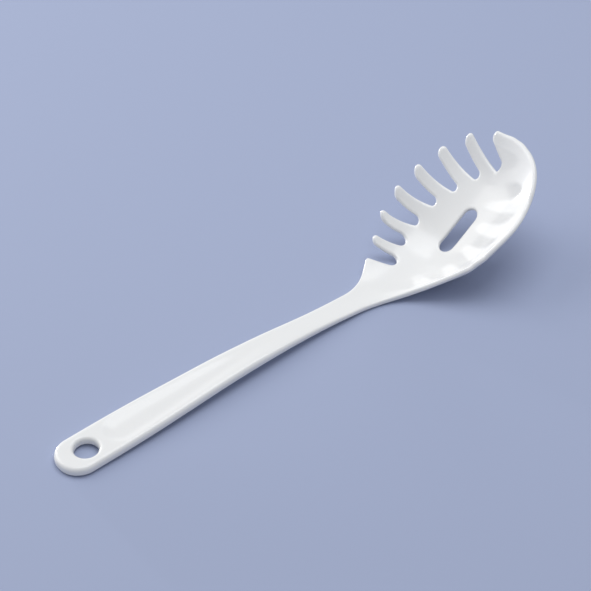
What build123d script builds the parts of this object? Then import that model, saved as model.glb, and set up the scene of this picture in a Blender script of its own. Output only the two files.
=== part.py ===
"""Pasta server: a one-piece moulded kitchen tool with a scoop, teeth on one side, a slot and a hanging hole."""

import os
from math import asin, atan2, cos, hypot, radians, sin, sqrt, tan, tau

from build123d import *

# Overall sizes of the moulding, in millimetres, and angles in degrees
length = 301
handle_half_width = 12
neck_half_width = 6.6
bowl_half_width = 38
wall = 2.95
end_thickness = 4.6
arch_thickness = 4.3
overrun = 6

# Places along the tool are measured from the end of the handle
arch_at = 116
arch_rise = 4.8
arch_radius = 450
neck_at = 178
heel_at = 193
heel_radius = 120
scoop_at = 246
scoop_angle = 36
scoop_radius = 35
front_at = 284
front_angle = 57
front_radius = 30

# Cross sections of the bowl's upper face are arcs
trough_radius = 46
section_count = 16

# Roundings of the outline seen from above
tip_half_width = 3.5
tip_radius = 18
rim_front_radius = 30
rim_side_radius = 38
flare_radius = 53
horn_flare_radius = 36
neck_radius = 400
grip_radius = 900
end_round_share = 0.97

# Hanging hole near the end of the handle, and the shallow dish in its top beyond the hole
hole_at = 16.2
hole_radius = 6.2
hole_bevel = 1
dish_at = 37
dish_end_at = 128
dish_depth = 1.2
dish_radius = 36

# Slot in the floor of the scoop
slot_at = 258.8
slot_length = 23.1
slot_width = 8.3

# Corners of the outline along the handle: shares of the length
grip_corner_share = 0.145
neck_corner_share = 0.535
horn_flare_share = 0.649
flare_share = 0.665

# Height of the outline at the flare: share of the neck's half width
flare_width_share = 1.15

# Corners of the bowl's plain rim, from the front: (share of the length, share of the bowl's half width)
rim_shares = [(0.977, 0.580), (0.839, 1.128)]

# The toothed edge as round stretches, from the near horn through gaps and teeth in turn to the far
# horn: (share of the length, share of the bowl's half width, radius as a share of that, tips negative)
comb_shares = [
    (0.700, 0.419, -0.050),
    (0.738, 0.307, 0.092),
    (0.738, 0.560, -0.063),
    (0.779, 0.495, 0.097),
    (0.778, 0.742, -0.066),
    (0.822, 0.561, 0.058),
    (0.820, 0.854, -0.064),
    (0.862, 0.552, 0.051),
    (0.866, 0.857, -0.070),
    (0.900, 0.457, 0.047),
    (0.914, 0.797, -0.070),
    (0.936, 0.318, 0.046),
    (0.953, 0.620, -0.058),
    (0.960, 0.095, 0.045),
    (0.980, 0.320, -0.046),
]

# Sections of the bowl: (share of the length, half width as a share of the bowl's, share of the
# trough's curvature)
section_shares = [
    (0.57, 0.40, 0.04),
    (0.645, 0.40, 0.27),
    (0.72, 0.66, 1.50),
    (0.80, 0.955, 1.22),
    (0.92, 1.10, 0.98),
    (1.00, 1.06, 0.72),
]


def eased(rows, place):
    """The row's values at a place between two rows, with a soft start and end."""
    before = max((row for row in rows[:-1] if row[0] <= place), default=rows[0])
    after = rows[rows.index(before) + 1]
    run = min(max((place - before[0]) / (after[0] - before[0]), 0), 1)
    blend = run * run * (3 - 2 * run)
    return [a + (b - a) * blend for a, b in zip(before[1:], after[1:])]


def left_of(heading):
    """The unit vector to the left of a heading."""
    return Vector(-sin(heading), cos(heading))


def belt(wheels):
    """Draw the arcs round a row of wheels and the runs between them, and return the arcs' two ends."""
    headings = [
        atan2(y2 - y1, x2 - x1) - asin((r2 - r1) / hypot(x2 - x1, y2 - y1))
        for (x1, y1, r1), (x2, y2, r2) in zip(wheels, wheels[1:])
    ]
    ends = []
    for (x, y, radius), heading_in, heading_out in zip(wheels[1:-1], headings, headings[1:]):
        turn = (heading_out - heading_in) % tau
        if radius < 0:
            turn -= tau
        middle = heading_in + turn / 2
        arc = [Vector(x, y) - left_of(heading) * radius for heading in (heading_in, middle, heading_out)]
        if ends:
            Line(ends[-1], arc[0])
        ThreePointArc(*arc)
        ends += [arc[0], arc[-1]]
    return ends[0], ends[-1]


# The tool lies on its handle end and its heel, with the middle of its length at the origin
handle_end = (-length / 2, 0, 0)
side_view = Plane(handle_end, x_dir=(1, 0, 0), z_dir=(0, -1, 0))
plan_view = Plane(handle_end)
neck = Plane.YZ.offset(neck_at - length / 2)
inner_length = length - wall * sin(radians(front_angle))

# Side view: the top line arches along the handle and turns up twice in the bowl
arch_top = arch_rise + arch_thickness
top_slope = (arch_top - end_thickness) / arch_at
front_height = wall + (front_at - scoop_at) * tan(radians(scoop_angle))
tip_height = front_height + (inner_length - front_at) * tan(radians(front_angle))
with BuildLine(side_view) as top_line:
    FilletPolyline(
        (-overrun, end_thickness - overrun * top_slope),
        (arch_at, arch_top),
        (heel_at, wall),
        (scoop_at, wall),
        (front_at, front_height),
        (inner_length + overrun, tip_height + overrun * tan(radians(front_angle))),
        radius=[arch_radius, heel_radius, scoop_radius, front_radius],
    )

# Column: the outline seen from above, less the slot
flare_half_width = neck_half_width * flare_width_share
end_radius = handle_half_width * end_round_share
with BuildPart() as column:
    with BuildSketch(plan_view.offset(-overrun)):
        with BuildLine():
            horn_flare = (length * horn_flare_share, flare_half_width)
            comb = [(length * x, bowl_half_width * y, bowl_half_width * r) for x, y, r in comb_shares]
            near_horn, far_horn = belt([(*horn_flare, 0), *comb, (inner_length, tip_half_width, 0)])
            FilletPolyline(
                far_horn,
                (inner_length, tip_half_width),
                (inner_length, -tip_half_width),
                *[(length * x, -bowl_half_width * y) for x, y in rim_shares],
                (length * flare_share, -flare_half_width),
                (length * neck_corner_share, -neck_half_width),
                (length * grip_corner_share, -handle_half_width),
                (0, -handle_half_width),
                (0, handle_half_width),
                (length * grip_corner_share, handle_half_width),
                (length * neck_corner_share, neck_half_width),
                horn_flare,
                near_horn,
                radius=[
                    *(tip_radius, tip_radius, rim_front_radius, rim_side_radius, flare_radius),
                    *(neck_radius, grip_radius, end_radius, end_radius, grip_radius, neck_radius),
                    horn_flare_radius,
                ],
            )
        make_face()
        with Locations((slot_at, 0)):
            SlotOverall(slot_length, slot_width, mode=Mode.SUBTRACT)
    extrude(amount=tip_height + overrun * 2)

# Blank of the bowl: a long trough, whose upper face is the inside of the bowl
with BuildPart() as blank:
    floor = top_line.wire()
    start = (neck_at - overrun) / floor.length
    for section in range(section_count + 1):
        station = start + (1 - start) * section / section_count
        centre = floor.position_at(station)
        half_share, curve_share = eased(section_shares, centre.X / length + 1 / 2)
        half = bowl_half_width * half_share
        arc_radius = trough_radius / curve_share
        rise = arc_radius - sqrt(arc_radius**2 - half**2)
        with BuildSketch(Plane(centre, x_dir=(0, 1, 0), z_dir=floor.tangent_at(station))):
            with BuildLine():
                inside = ThreePointArc((-half, rise), (0, 0), (half, rise))
                Polyline(inside @ 0, (-half, -overrun), (half, -overrun), inside @ 1)
            make_face()
    loft()

# Bowl: the blank's upper face, trimmed to the column and given its wall downwards
upper_face = blank.faces().filter_by(GeomType.BSPLINE).sort_by(SortBy.AREA)[-2:].sort_by(Axis.Z)[-1]
inside_face = (upper_face & column.part).faces()[0]
with BuildPart() as bowl:
    thicken(inside_face, amount=-wall)
    split(bisect_by=neck, keep=Keep.TOP)
bowl.part.label = "bowl"

# Handle: its side view, thicker towards the end, trimmed to the column
neck_slope = (arch_top - wall) / (heel_at - arch_at)
neck_top = wall + (heel_at - neck_at) * neck_slope
neck_bottom = neck_top - wall * sqrt(1 + neck_slope**2)
with BuildPart() as handle:
    with BuildSketch(side_view):
        with BuildLine():
            top = FilletPolyline(
                (-overrun, end_thickness - overrun * top_slope),
                (arch_at, arch_top),
                (neck_at, neck_top),
                radius=arch_radius,
            )
            bottom = FilletPolyline(
                (-overrun, -overrun * arch_rise / arch_at),
                (arch_at, arch_rise),
                (neck_at, neck_bottom),
                radius=arch_radius,
            )
            Line(top @ 0, bottom @ 0)
            Line(top @ 1, bottom @ 1)
        make_face()
    extrude(amount=handle_half_width + overrun, both=True)
    add(column.part, mode=Mode.INTERSECT)

    # The dish fades out towards the neck, where its round-ended cutter leaves the top
    dish_height = end_thickness + dish_at * top_slope - dish_depth + dish_radius
    dish_slope = top_slope + dish_depth / (dish_end_at - dish_at)
    dish_view = Plane(
        side_view.from_local_coords((dish_at, dish_height, 0)),
        x_dir=(1, 0, dish_slope),
        z_dir=side_view.z_dir,
    )
    with BuildSketch(dish_view):
        with BuildLine():
            end = CenterArc((0, 0), dish_radius, 90, 90)
            dish_length = dish_end_at - dish_at
            Polyline(end @ 0, (dish_length, dish_radius), (dish_length, 0), end @ 1)
        make_face()
    revolve(axis=Axis(dish_view.origin, dish_view.x_dir), mode=Mode.SUBTRACT)

    with Locations((hole_at - length / 2, 0, 0)):
        Hole(hole_radius)
    chamfer(handle.edges(Select.LAST).filter_by(GeomType.LINE, reverse=True), hole_bevel)
handle.part.label = "handle"

os.makedirs("parts", exist_ok=True)
export_step(handle.part, "parts/handle.step")
export_step(bowl.part, "parts/bowl.step")
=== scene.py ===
"""Pasta server in glossy white plastic, lying on a plain pale floor."""

import math

import bmesh
import bpy
import numpy as np
from bpy.props import FloatProperty, FloatVectorProperty, PointerProperty
from mathutils import Matrix, Vector


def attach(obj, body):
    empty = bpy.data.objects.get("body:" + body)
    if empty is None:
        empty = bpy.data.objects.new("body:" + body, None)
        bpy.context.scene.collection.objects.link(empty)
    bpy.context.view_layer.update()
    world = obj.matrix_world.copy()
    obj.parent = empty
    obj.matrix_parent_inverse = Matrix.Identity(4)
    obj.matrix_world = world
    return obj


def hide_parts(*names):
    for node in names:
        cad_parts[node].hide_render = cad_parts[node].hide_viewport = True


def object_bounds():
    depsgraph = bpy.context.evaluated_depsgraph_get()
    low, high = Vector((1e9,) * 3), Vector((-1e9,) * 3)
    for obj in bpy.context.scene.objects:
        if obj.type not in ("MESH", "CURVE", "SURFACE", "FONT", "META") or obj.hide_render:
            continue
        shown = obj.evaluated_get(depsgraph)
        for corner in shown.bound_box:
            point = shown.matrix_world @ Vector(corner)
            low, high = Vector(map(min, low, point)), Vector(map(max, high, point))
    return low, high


bl_info = {
    "name": "Pasta server",
    "version": (1, 0, 0),
    "blender": (4, 5, 0),
    "location": "3D View > Sidebar > Pasta server",
    "description": "Makes a moulded plastic pasta server, its studio floor, lamps and camera",
    "category": "Object",
}

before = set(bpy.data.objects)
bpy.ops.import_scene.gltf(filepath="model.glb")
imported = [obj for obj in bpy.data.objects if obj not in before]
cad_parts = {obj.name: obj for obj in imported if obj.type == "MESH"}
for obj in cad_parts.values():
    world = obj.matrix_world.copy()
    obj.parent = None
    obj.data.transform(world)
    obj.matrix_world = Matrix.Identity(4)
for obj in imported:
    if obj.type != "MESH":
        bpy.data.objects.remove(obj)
cad_low, cad_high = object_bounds()

# Sizes in millimetres, and places along the tool from the end of its handle
MM = 0.001
LENGTH = (cad_high[0] - cad_low[0]) / MM
HANDLE_END = cad_low[0] / MM
HANDLE_HALF_WIDTH = 12
NECK_HALF_WIDTH = 6.6
FLARE_HALF_WIDTH = 1.15 * NECK_HALF_WIDTH
BOWL_HALF_WIDTH = 38
TIP_HALF_WIDTH = 3.5
WALL = 2.95
END_WALL = 4.6
ARCH_WALL = 4.3
SCOOP_ANGLE = math.radians(36)
FRONT_ANGLE = math.radians(57)
INNER_LENGTH = LENGTH - WALL * math.sin(FRONT_ANGLE)

# Line of the top seen from the side, as corners and the radii that round them
ARCH_AT = 116
ARCH_TOP = 9.1
NECK_AT = 178
HEEL_AT = 193
SCOOP_AT = 246
FRONT_AT = 284
FRONT_TOP = WALL + (FRONT_AT - SCOOP_AT) * math.tan(SCOOP_ANGLE)
TOP_CORNERS = [(ARCH_AT, ARCH_TOP), (HEEL_AT, WALL), (SCOOP_AT, WALL), (FRONT_AT, FRONT_TOP)]
TOP_RADII = [450, 120, 35, 30]
OVERRUN = 12

# Thickness of the wall: place along the tool, thickness
WALL_ROWS = [(0, END_WALL), (ARCH_AT, ARCH_WALL), (NECK_AT, WALL), (LENGTH, WALL)]

# Curvature of the trough: share of the length, share of 1 / trough radius
TROUGH_RADIUS = 46
TROUGH_ROWS = [(0.57, 0.04), (0.645, 0.27), (0.72, 1.50), (0.80, 1.22), (0.92, 0.98), (1.00, 0.72)]

# Outline from above: corners along the handle, and the corners of the plain rim from the front
END_CORNER = (0, HANDLE_HALF_WIDTH)
GRIP_CORNER = (0.145 * LENGTH, HANDLE_HALF_WIDTH)
NECK_CORNER = (0.535 * LENGTH, NECK_HALF_WIDTH)
HORN_FLARE_CORNER = (0.649 * LENGTH, FLARE_HALF_WIDTH)
RIM_FLARE_CORNER = (0.665 * LENGTH, FLARE_HALF_WIDTH)
RIM_FRONT_CORNER = (0.977 * LENGTH, 0.580 * BOWL_HALF_WIDTH)
RIM_SIDE_CORNER = (0.839 * LENGTH, 1.128 * BOWL_HALF_WIDTH)
TIP_CORNER = (INNER_LENGTH, TIP_HALF_WIDTH)
END_RADIUS = 11.6
GRIP_RADIUS = 900
NECK_RADIUS = 400
HORN_FLARE_RADIUS = 36
RIM_FLARE_RADIUS = 53
TIP_RADIUS = 18
RIM_FRONT_RADIUS = 30
RIM_SIDE_RADIUS = 38

# Toothed edge as round stretches, from the near horn through gaps and teeth in turn to the far horn:
# share of the length, share of the bowl's half width, radius as a share of that (tips negative)
COMB_ROWS = [
    (0.700, 0.419, -0.050),
    (0.738, 0.307, 0.092),
    (0.738, 0.560, -0.063),
    (0.779, 0.495, 0.097),
    (0.778, 0.742, -0.066),
    (0.822, 0.561, 0.058),
    (0.820, 0.854, -0.064),
    (0.862, 0.552, 0.051),
    (0.866, 0.857, -0.070),
    (0.900, 0.457, 0.047),
    (0.914, 0.797, -0.070),
    (0.936, 0.318, 0.046),
    (0.953, 0.620, -0.058),
    (0.960, 0.095, 0.045),
    (0.980, 0.320, -0.046),
]

SLOT_AT = 258.8
SLOT_LENGTH = 23.1
SLOT_WIDTH = 8.3
HOLE_AT = 16.2
HOLE_RADIUS = 6.2

# Dish in the top of the handle, cut by a round-ended bar that leaves the top at the dish's end
DISH_AT = 37
DISH_END_AT = 128
DISH_RADIUS = 36
DISH_SOFTNESS = 0.12

# Fineness of the mesh and of the tables behind it
ARC_POINTS = 60
TABLE_STEP = 0.1
SLOPE_STEP = 0.05
SETTLING_ROUNDS = 30
ROUNDING_RINGS = 6
LEAST_ARC_POINTS = 6
LEAST_HOLE_POINTS = 48
BORDER_SHARE = 0.45
BATCHES = 40
MERGE_REACH = 1e-4

# Camera, with angles measured from the tool's own axes and lengths in metres
CAMERA_HEADING = math.radians(39.82)
CAMERA_TILT = math.radians(41)
CAMERA_DISTANCE = 1.2
CAMERA_TARGET = Vector((0.01078, 0.01683, 0.010))
CAMERA_LENS = 142.45
CAMERA_SENSOR = 36
CAMERA_REACH = 20

# Lamps: heading and height in degrees, distance and side in metres, colour
KEY_LAMP = (112, 38, 1.3, 0.9, (1.0, 0.98, 0.95))
GAP_LAMP = (95, 2, 1.2, 0.05, (1.0, 1.0, 1.0))
TOP_LAMP = (20, 76, 1.4, 1.1, (0.96, 0.98, 1.0))
SURROUNDINGS_COLOUR = (0.93, 0.95, 1.0, 1)


def left_of(angle):
    """The unit vector to the left of a heading."""
    return np.array([-math.sin(angle), math.cos(angle)])


def tangent(here, there):
    """Heading, start and end of the run between two wheels, each a centre and a signed radius."""
    reach = np.subtract(there[:2], here[:2])
    angle = math.atan2(reach[1], reach[0]) - math.asin((there[2] - here[2]) / np.linalg.norm(reach))
    return angle, here[:2] - here[2] * left_of(angle), there[:2] - there[2] * left_of(angle)


def corner_wheel(before, corner, after, radius):
    """The wheel that rounds a corner. Its radius is positive where the path turns left."""
    way_in, way_out = np.subtract(corner, before), np.subtract(after, corner)
    way_in, way_out = way_in / np.linalg.norm(way_in), way_out / np.linalg.norm(way_out)
    turn = math.atan2(way_in[0] * way_out[1] - way_in[1] * way_out[0], way_in @ way_out)
    signed = math.copysign(radius, turn)
    start = corner - way_in * radius * math.tan(abs(turn) / 2)
    centre = start + signed * left_of(math.atan2(*way_in[::-1]))
    return (*centre, signed)


def belt(wheels, step):
    """Points and outward normals of the closed belt round a row of wheels, with the body on its right."""
    runs = [tangent(here, there) for here, there in zip(wheels, wheels[1:] + wheels[:1])]
    points, normals = [], []
    for (angle_in, _, _), wheel, (angle_out, start, end) in zip(runs[-1:] + runs[:-1], wheels, runs):
        turn = (angle_out - angle_in) % math.tau
        if wheel[2] < 0:
            turn -= math.tau
        count = math.ceil(abs(turn) * max(LEAST_ARC_POINTS, abs(wheel[2]) / step))
        for part in np.arange(count) / count:
            normals.append(left_of(angle_in + turn * part))
            points.append(wheel[:2] - wheel[2] * normals[-1])
        count = math.ceil(np.linalg.norm(end - start) / step)
        for part in np.arange(count) / count:
            normals.append(left_of(angle_out))
            points.append(start + (end - start) * part)
    return np.array(points), np.array(normals)


def outline(step):
    """Edge of the moulding from above, from the handle's end along the toothed side and back."""
    comb = [(LENGTH * x, BOWL_HALF_WIDTH * y, BOWL_HALF_WIDTH * r) for x, y, r in COMB_ROWS]
    _, _, near_horn = tangent((*HORN_FLARE_CORNER, 0), comb[0])
    _, far_horn, _ = tangent(comb[-1], (*TIP_CORNER, 0))

    def across(corner):
        return corner[0], -corner[1]

    toothed = [across(END_CORNER), END_CORNER, GRIP_CORNER, NECK_CORNER, HORN_FLARE_CORNER, near_horn]
    toothed_radii = [END_RADIUS, GRIP_RADIUS, NECK_RADIUS, HORN_FLARE_RADIUS]
    plain = [far_horn, TIP_CORNER]
    for corner in (TIP_CORNER, RIM_FRONT_CORNER, RIM_SIDE_CORNER, RIM_FLARE_CORNER):
        plain.append(across(corner))
    for corner in (NECK_CORNER, GRIP_CORNER, END_CORNER):
        plain.append(across(corner))
    plain.append(END_CORNER)
    plain_radii = [TIP_RADIUS, TIP_RADIUS, RIM_FRONT_RADIUS, RIM_SIDE_RADIUS, RIM_FLARE_RADIUS]
    plain_radii += [NECK_RADIUS, GRIP_RADIUS, END_RADIUS]
    wheels = [corner_wheel(*toothed[i : i + 3], radius) for i, radius in enumerate(toothed_radii)]
    wheels += comb
    wheels += [corner_wheel(*plain[i : i + 3], radius) for i, radius in enumerate(plain_radii)]
    return belt(wheels, step)


def stadium(centre, length, width, step):
    """Points and normals of a hole's edge. The normals point into the hole."""
    reach = (length - width) / 2
    radius = width / 2
    count = max(LEAST_HOLE_POINTS, math.ceil(math.tau * radius / step))
    turns = np.linspace(0, math.tau, count, endpoint=False)
    ends = np.stack([np.cos(turns), np.sin(turns)], 1)
    points = ends * radius + np.stack([np.sign(np.round(ends[:, 0], 9)) * reach + centre, 0 * turns], 1)
    if not reach:
        return points, -ends
    full, normals = [], []
    for here, there, end in zip(points, np.roll(points, -1, 0), ends):
        count = max(1, math.ceil(np.linalg.norm(there - here) / step))
        for part in range(count):
            full.append(here + (there - here) * part / count)
            normals.append(-end)
    return np.array(full), np.array(normals)


def eased(rows, places):
    """Values at places between the rows, with a soft start and end at each row."""
    at, values = np.array(rows).T
    before = np.clip(np.searchsorted(at, places, "right") - 1, 0, len(at) - 2)
    run = np.clip((places - at[before]) / (at[before + 1] - at[before]), 0, 1)
    return values[before] + (values[before + 1] - values[before]) * run * run * (3 - 2 * run)


def top_table():
    """Places along the tool, and the height and slope of the top's line there."""
    start = (-OVERRUN, END_WALL - OVERRUN * (ARCH_TOP - END_WALL) / ARCH_AT)
    run = LENGTH + OVERRUN - FRONT_AT
    corners = [start, *TOP_CORNERS, (FRONT_AT + run, FRONT_TOP + run * math.tan(FRONT_ANGLE))]
    line = [start]
    for i, radius in enumerate(TOP_RADII):
        x, z, signed = corner_wheel(*corners[i : i + 3], radius)
        sides = [np.subtract(corners[j + 1], corners[j]) for j in (i, i + 1)]
        headings = [math.atan2(side[1], side[0]) for side in sides]
        line += [(x, z) - signed * left_of(angle) for angle in np.linspace(*headings, ARC_POINTS)]
    line.append(corners[-1])
    xs, zs = np.array(line).T
    places = np.arange(-OVERRUN, LENGTH + OVERRUN, TABLE_STEP)
    heights = np.interp(places, xs, zs)
    return places, heights, np.gradient(heights, places)


TOP = top_table()


def wall_at(x):
    """Thickness of the wall at places along the tool."""
    return np.interp(x, *np.array(WALL_ROWS).T)


def surface(x, y):
    """Height of the top over a point: sections square to the top's line are arcs."""
    along = x.copy()
    for _ in range(SETTLING_ROUNDS):
        lean = np.arctan(np.interp(along, TOP[0], TOP[2]))
        radius = TROUGH_RADIUS / eased(TROUGH_ROWS, along / LENGTH)
        rise = radius - np.sqrt(np.maximum(radius**2 - y**2, 0))
        along = (along + x + rise * np.sin(lean)) / 2
    return np.interp(along, TOP[0], TOP[1]) + rise * np.cos(lean)


def dish(x, y, depth):
    """Depth of the dish in the handle's top, with soft borders."""
    fade = depth * (DISH_END_AT - x) / (DISH_END_AT - DISH_AT)
    behind = np.minimum(x - DISH_AT, 0)
    cut = np.minimum(fade, depth) - (y**2 + behind**2) / (2 * DISH_RADIUS)
    return (cut + np.sqrt(cut**2 + DISH_SOFTNESS**2)) / 2


def moved(flat, dish_depth):
    """Points of the flat moulding, whose heights are depths below its top, put on the real surface."""
    x, y, depth = flat[:, 0], flat[:, 1], -flat[:, 2]
    slope_x = (surface(x + SLOPE_STEP, y) - surface(x - SLOPE_STEP, y)) / (2 * SLOPE_STEP)
    slope_y = (surface(x, y + SLOPE_STEP) - surface(x, y - SLOPE_STEP)) / (2 * SLOPE_STEP)
    normals = np.stack([-slope_x, -slope_y, np.ones_like(x)], 1)
    normals /= np.linalg.norm(normals, axis=1, keepdims=True)
    share = depth / wall_at(x)
    sunk = dish(x, y, dish_depth) * np.clip(1 - 2 * share, 0, 1)
    return np.stack([x, y, surface(x, y) - sunk], 1) - normals * depth[:, None]


def inside(points, edge, normals, margin):
    """Which points lie inside the edge by at least a margin."""
    kept = []
    for part in np.array_split(points, BATCHES):
        gaps = part[:, None] - edge[None]
        nearest = (gaps**2).sum(2).argmin(1)
        rows = np.arange(len(part))
        kept.append((gaps[rows, nearest] * normals[nearest]).sum(1) < -margin)
    return np.concatenate(kept)


def moulding_mesh(settings):
    """The whole moulding: two broad faces of fine quads, joined by rounded edges."""
    pitch = settings.pitch
    rim, slot, hole = settings.edge_rounding, settings.slot_rounding, settings.hole_rounding
    rings = [
        (*outline(pitch), rim, rim),
        (*stadium(SLOT_AT, SLOT_LENGTH, SLOT_WIDTH, pitch), slot, slot),
        (*stadium(HOLE_AT, 2 * HOLE_RADIUS, 2 * HOLE_RADIUS, pitch), hole, slot),
    ]
    points = np.concatenate([ring[0] for ring in rings])
    normals = np.concatenate([ring[1] for ring in rings])
    above = np.concatenate([np.full(len(ring[0]), ring[2]) for ring in rings])
    below = np.concatenate([np.full(len(ring[0]), ring[3]) for ring in rings])
    walls = wall_at(points[:, 0])

    # The top edge is rounder along the handle, and eases to the rim's rounding at the neck
    around = len(rings[0][0])
    above[:around] = np.interp(points[:around, 0], (ARCH_AT, NECK_AT), (settings.grip_rounding, rim))

    # Rings down the edge: a quarter round, the wall between, and a quarter round below
    levels = []
    for turn in np.linspace(math.pi / 2, 0, ROUNDING_RINGS):
        levels.append((above * (1 - math.cos(turn)), above * (1 - math.sin(turn))))
    for turn in np.linspace(0, math.pi / 2, ROUNDING_RINGS):
        levels.append((below * (1 - math.cos(turn)), walls - below * (1 - math.sin(turn))))

    bm = bmesh.new()
    place = bm.verts.layers.int.new("place")

    def level_point(index, level):
        inset, depth = levels[level]
        x, y = points[index] - normals[index] * inset[index]
        return x, y, -depth[index]

    edge = []
    for start, ring in zip(np.cumsum([0] + [len(ring[0]) for ring in rings]), rings):
        verts = []
        for index in range(start, start + len(ring[0])):
            vert = bm.verts.new(level_point(index, 0))
            vert[place] = index
            verts.append(vert)
        edge += [bm.edges.new(pair) for pair in zip(verts, verts[1:] + verts[:1])]

    # A square grid inside the edge, with a triangulated border between them
    inner = points - normals * above[:, None]
    low, high = inner.min(0), inner.max(0)
    cells = np.ceil((high - low) / pitch).astype(int)
    middle, size = (low + high) / 2, cells * pitch
    corner = middle - size / 2
    grid_place = Matrix.Translation((*middle, 0)) @ Matrix.Diagonal((*size, 1, 1))
    columns, rows = (int(count) for count in cells)
    grid = bmesh.ops.create_grid(bm, x_segments=columns, y_segments=rows, size=0.5, matrix=grid_place)
    flat = np.array([vert.co.xy for vert in grid["verts"]])
    where = np.round((flat - corner) / pitch).astype(int)
    vert_held = np.zeros(cells + 1, bool)
    vert_held[where[:, 0], where[:, 1]] = inside(flat, inner, normals, pitch * BORDER_SHARE)
    cell_held = vert_held[1:, 1:] & vert_held[:-1, 1:] & vert_held[1:, :-1] & vert_held[:-1, :-1]

    # Cells that would touch at one corner alone are dropped, so that the border is a plain loop
    crossed = True
    while crossed:
        a, b = cell_held[1:, 1:], cell_held[:-1, :-1]
        c, d = cell_held[1:, :-1], cell_held[:-1, 1:]
        pinched = (a & b & ~c & ~d) | (c & d & ~a & ~b)
        crossed = bool(pinched.any())
        cell_held[1:, 1:] &= ~pinched
        cell_held[1:, :-1] &= ~pinched
    outside = []
    for face in bm.faces:
        cell = np.floor((np.array(face.calc_center_median().xy) - corner) / pitch).astype(int)
        if not cell_held[cell[0], cell[1]]:
            outside.append(face)
    bmesh.ops.delete(bm, geom=outside, context="FACES")
    border = [e for e in bm.edges if len(e.link_faces) == 1]
    border += edge
    bmesh.ops.triangle_fill(bm, use_beauty=True, use_dissolve=False, edges=border, normal=(0, 0, 1))

    # The under face is the same sheet, turned over and let down by the wall
    under = bmesh.ops.duplicate(bm, geom=bm.verts[:] + bm.edges[:] + bm.faces[:])["geom"]
    under_verts = [item for item in under if isinstance(item, bmesh.types.BMVert)]
    bmesh.ops.reverse_faces(bm, faces=[item for item in under if isinstance(item, bmesh.types.BMFace)])
    under_rim = [vert for vert in under_verts if any(not e.is_manifold for e in vert.link_edges)]
    for vert in under_verts:
        vert.co.z = -float(wall_at(vert.co.x))
    for vert in under_rim:
        vert.co = level_point(vert[place], len(levels) - 1)
    ring = edge
    for level in range(1, len(levels)):
        made = bmesh.ops.extrude_edge_only(bm, edges=ring)["geom"]
        ring = [item for item in made if isinstance(item, bmesh.types.BMEdge)]
        ring_verts = [item for item in made if isinstance(item, bmesh.types.BMVert)]
        for vert in ring_verts:
            vert.co = level_point(vert[place], level)
    bmesh.ops.remove_doubles(bm, verts=ring_verts + under_rim, dist=MERGE_REACH)

    flat = np.array([vert.co for vert in bm.verts])
    for vert, co in zip(bm.verts, (moved(flat, settings.dish_depth) + (HANDLE_END, 0, 0)) * MM):
        vert.co = co
    bmesh.ops.recalc_face_normals(bm, faces=bm.faces)
    for face in bm.faces:
        face.smooth = True
    mesh = bpy.data.meshes.new("pasta_server_moulding")
    bm.to_mesh(mesh)
    bm.free()
    return mesh


def group_socket(group, name, kind, direction, default=None):
    """Give a node group a socket."""
    socket = group.interface.new_socket(name=name, in_out=direction, socket_type=kind)
    if default is not None:
        socket.default_value = default


def plastic_group():
    """Shared looks of moulded plastic: faint clouding, uneven gloss and the mould's fine texture."""
    group = bpy.data.node_groups.new("moulded plastic", "ShaderNodeTree")
    group_socket(group, "Color", "NodeSocketColor", "INPUT", (0.9, 0.9, 0.9, 1))
    group_socket(group, "Clouding", "NodeSocketFloat", "INPUT", 0.03)
    group_socket(group, "Roughness", "NodeSocketFloat", "INPUT", 0.25)
    group_socket(group, "Waviness", "NodeSocketFloat", "INPUT", 0.05)
    group_socket(group, "Color", "NodeSocketColor", "OUTPUT")
    group_socket(group, "Roughness", "NodeSocketFloat", "OUTPUT")
    group_socket(group, "Normal", "NodeSocketVector", "OUTPUT")
    nodes, link = group.nodes, group.links.new
    given, result = nodes.new("NodeGroupInput"), nodes.new("NodeGroupOutput")
    place = nodes.new("ShaderNodeTexCoord")

    def noise(scale, detail):
        node = nodes.new("ShaderNodeTexNoise")
        node.inputs["Scale"].default_value = scale
        node.inputs["Detail"].default_value = detail
        link(place.outputs["Object"], node.inputs["Vector"])
        return node

    def spread(source, low, high):
        node = nodes.new("ShaderNodeMapRange")
        node.inputs["To Min"].default_value = low
        node.inputs["To Max"].default_value = high
        link(source, node.inputs["Value"])
        return node

    clouds, gloss = noise(28, 3), noise(90, 4)
    grain, flow = noise(2600, 2), noise(45, 1)

    shade = spread(clouds.outputs["Fac"], 0, 1)
    darken = nodes.new("ShaderNodeMath")
    darken.operation = "MULTIPLY"
    link(shade.outputs["Result"], darken.inputs[0])
    link(given.outputs["Clouding"], darken.inputs[1])
    value = nodes.new("ShaderNodeMath")
    value.operation = "SUBTRACT"
    value.inputs[0].default_value = 1
    link(darken.outputs["Value"], value.inputs[1])
    tone = nodes.new("ShaderNodeHueSaturation")
    link(given.outputs["Color"], tone.inputs["Color"])
    link(value.outputs["Value"], tone.inputs["Value"])
    link(tone.outputs["Color"], result.inputs["Color"])

    uneven = spread(gloss.outputs["Fac"], 0.8, 1.25)
    rough = nodes.new("ShaderNodeMath")
    rough.operation = "MULTIPLY"
    link(uneven.outputs["Result"], rough.inputs[0])
    link(given.outputs["Roughness"], rough.inputs[1])
    link(rough.outputs["Value"], result.inputs["Roughness"])

    wave = nodes.new("ShaderNodeBump")
    wave.inputs["Distance"].default_value = 0.0006
    link(given.outputs["Waviness"], wave.inputs["Strength"])
    link(flow.outputs["Fac"], wave.inputs["Height"])
    skin = nodes.new("ShaderNodeBump")
    skin.inputs["Distance"].default_value = 0.00002
    skin.inputs["Strength"].default_value = 0.25
    link(grain.outputs["Fac"], skin.inputs["Height"])
    link(wave.outputs["Normal"], skin.inputs["Normal"])
    link(skin.outputs["Normal"], result.inputs["Normal"])
    return group


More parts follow.
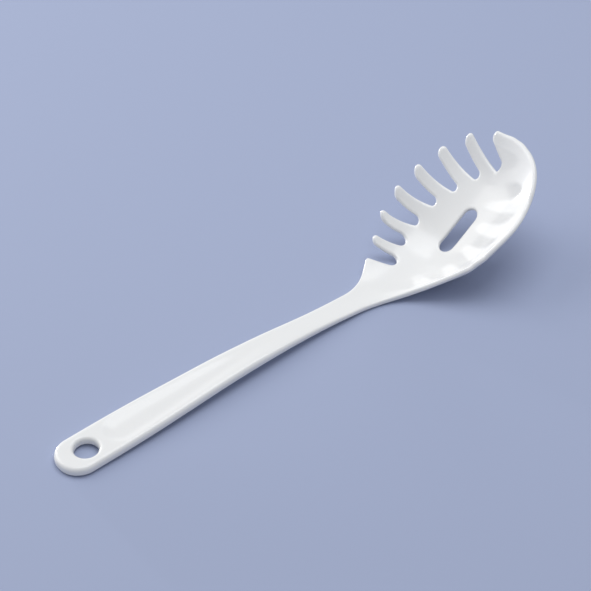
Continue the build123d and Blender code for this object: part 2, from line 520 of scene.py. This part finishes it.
def plastic_material(settings):
    """Glossy white plastic."""
    material = bpy.data.materials.new("white plastic")
    material.use_nodes = True
    nodes, link = material.node_tree.nodes, material.node_tree.links.new
    shader = nodes["Principled BSDF"]
    looks = nodes.new("ShaderNodeGroup")
    looks.node_tree = plastic_group()
    looks.inputs["Color"].default_value = (*settings.colour, 1)
    looks.inputs["Roughness"].default_value = settings.roughness
    link(looks.outputs["Color"], shader.inputs["Base Color"])
    link(looks.outputs["Roughness"], shader.inputs["Roughness"])
    link(looks.outputs["Normal"], shader.inputs["Normal"])
    shader.inputs["IOR"].default_value = 1.49
    shader.inputs["Subsurface Weight"].default_value = 0.12
    shader.inputs["Subsurface Radius"].default_value = (1.0, 0.95, 0.9)
    shader.inputs["Subsurface Scale"].default_value = 0.0015
    shader.inputs["Coat Weight"].default_value = 0.25
    shader.inputs["Coat Roughness"].default_value = 0.08
    return material


def floor_material(colour):
    """Plain matt paper."""
    material = bpy.data.materials.new("floor paper")
    material.use_nodes = True
    shader = material.node_tree.nodes["Principled BSDF"]
    shader.inputs["Base Color"].default_value = (*colour, 1)
    shader.inputs["Roughness"].default_value = 0.65
    shader.inputs["Specular IOR Level"].default_value = 0.25
    return material


def add_lamp(name, lamp_place, power):
    """Add a square lamp that is aimed at the middle of the picture."""
    heading, tilt, distance, side, colour = lamp_place
    light = bpy.data.lights.new(name, "AREA")
    light.size = side
    light.energy = power
    light.color = colour
    lamp = bpy.data.objects.new(name, light)
    bpy.context.scene.collection.objects.link(lamp)
    heading, tilt = math.radians(heading), math.radians(tilt)
    level = math.cos(tilt)
    way = Vector((math.cos(heading) * level, math.sin(heading) * level, math.sin(tilt)))
    turned = way.to_track_quat("Z", "Y").to_matrix().to_4x4()
    lamp.matrix_world = Matrix.Translation(CAMERA_TARGET + way * distance) @ turned


class PastaServerMoulding(bpy.types.PropertyGroup):
    """Sizes and looks of the moulding."""

    pitch: FloatProperty(name="Pitch", description="Side of the mesh's squares in millimetres", default=0.9)
    edge_rounding: FloatProperty(
        name="Edge rounding", description="Radius of the rim in millimetres", default=1.15
    )
    grip_rounding: FloatProperty(
        name="Grip rounding", description="Top radius of the handle's edge in millimetres", default=2.2
    )
    slot_rounding: FloatProperty(
        name="Slot rounding", description="Radius round the slot in millimetres", default=1.0
    )
    hole_rounding: FloatProperty(
        name="Hole rounding", description="Top radius of the hole in millimetres", default=1.9
    )
    dish_depth: FloatProperty(name="Dish depth", description="Depth of the dish in millimetres", default=1.2)
    colour: FloatVectorProperty(
        name="Colour", description="Colour of the plastic", subtype="COLOR", default=(0.87, 0.87, 0.86)
    )
    roughness: FloatProperty(
        name="Roughness", description="Mean roughness of the plastic", subtype="FACTOR", default=0.24
    )


class PastaServerStage(bpy.types.PropertyGroup):
    """Floor and light."""

    floor_size: FloatProperty(name="Floor", description="Side of the floor", default=6, unit="LENGTH")
    floor_colour: FloatVectorProperty(
        name="Floor colour", description="Paper under the tool", subtype="COLOR", default=(0.36, 0.41, 0.57)
    )
    key_power: FloatProperty(
        name="Key lamp", description="Lamp behind the teeth", default=5, unit="POWER"
    )
    gap_power: FloatProperty(
        name="Gap lamp", description="Low lamp that shines between the teeth", default=6, unit="POWER"
    )
    top_power: FloatProperty(name="Top lamp", description="Wide lamp overhead", default=9.5, unit="POWER")
    world_strength: FloatProperty(
        name="Surroundings", description="Strength of the even light", default=0.47
    )


class PASTASERVER_OT_moulding(bpy.types.Operator):
    """Make the one-piece moulding in place of the frame's handle and bowl"""

    bl_idname = "pasta_server.moulding"
    bl_label = "Make moulding"

    def execute(self, context):
        settings = context.scene.pasta_server_moulding
        mesh = moulding_mesh(settings)
        mesh.materials.append(plastic_material(settings))
        piece = bpy.data.objects.new("pasta_server_moulding", mesh)
        context.scene.collection.objects.link(piece)
        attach(piece, "root")
        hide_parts("handle", "bowl")
        return {"FINISHED"}


class PASTASERVER_OT_stage(bpy.types.Operator):
    """Make the floor, the lamps and the camera"""

    bl_idname = "pasta_server.stage"
    bl_label = "Make stage"

    def execute(self, context):
        settings = context.scene.pasta_server_stage
        bm = bmesh.new()
        bmesh.ops.create_grid(bm, x_segments=1, y_segments=1, size=settings.floor_size / 2)
        mesh = bpy.data.meshes.new("floor")
        bm.to_mesh(mesh)
        bm.free()
        mesh.materials.append(floor_material(settings.floor_colour))
        floor = bpy.data.objects.new("floor", mesh)
        floor.location.z = cad_low[2]
        context.scene.collection.objects.link(floor)

        add_lamp("key lamp", KEY_LAMP, settings.key_power)
        add_lamp("gap lamp", GAP_LAMP, settings.gap_power)
        add_lamp("top lamp", TOP_LAMP, settings.top_power)

        world = bpy.data.worlds.new("studio")
        world.use_nodes = True
        background = world.node_tree.nodes["Background"]
        background.inputs["Color"].default_value = SURROUNDINGS_COLOUR
        background.inputs["Strength"].default_value = settings.world_strength
        context.scene.world = world

        camera = bpy.data.objects.new("camera", bpy.data.cameras.new("camera"))
        camera.data.lens = CAMERA_LENS
        camera.data.sensor_width = CAMERA_SENSOR
        camera.data.clip_end = CAMERA_REACH
        level = math.cos(CAMERA_TILT)
        across, along = math.sin(CAMERA_HEADING) * level, math.cos(CAMERA_HEADING) * level
        ahead = Vector((across, along, -math.sin(CAMERA_TILT)))
        camera.location = CAMERA_TARGET - ahead * CAMERA_DISTANCE
        camera.rotation_euler = ahead.to_track_quat("-Z", "Y").to_euler()
        context.scene.collection.objects.link(camera)
        context.scene.camera = camera
        context.scene.view_settings.view_transform = "Standard"
        return {"FINISHED"}


class PASTASERVER_PT_panel(bpy.types.Panel):
    """Sizes, looks and buttons in the sidebar"""

    bl_label = "Pasta server"
    bl_idname = "PASTASERVER_PT_panel"
    bl_space_type = "VIEW_3D"
    bl_region_type = "UI"
    bl_category = "Pasta server"

    def draw(self, context):
        for settings, operator in (
            (context.scene.pasta_server_moulding, PASTASERVER_OT_moulding),
            (context.scene.pasta_server_stage, PASTASERVER_OT_stage),
        ):
            box = self.layout.box()
            for name in settings.__annotations__:
                box.prop(settings, name)
            box.operator(operator.bl_idname)


CLASSES = (
    PastaServerMoulding,
    PastaServerStage,
    PASTASERVER_OT_moulding,
    PASTASERVER_OT_stage,
    PASTASERVER_PT_panel,
)


def register():
    for cls in CLASSES:
        bpy.utils.register_class(cls)
    bpy.types.Scene.pasta_server_moulding = PointerProperty(type=PastaServerMoulding)
    bpy.types.Scene.pasta_server_stage = PointerProperty(type=PastaServerStage)


def unregister():
    del bpy.types.Scene.pasta_server_stage
    del bpy.types.Scene.pasta_server_moulding
    for cls in reversed(CLASSES):
        bpy.utils.unregister_class(cls)


def main():
    register()
    bpy.ops.pasta_server.moulding()
    bpy.ops.pasta_server.stage()


if __name__ == "__main__":
    main()
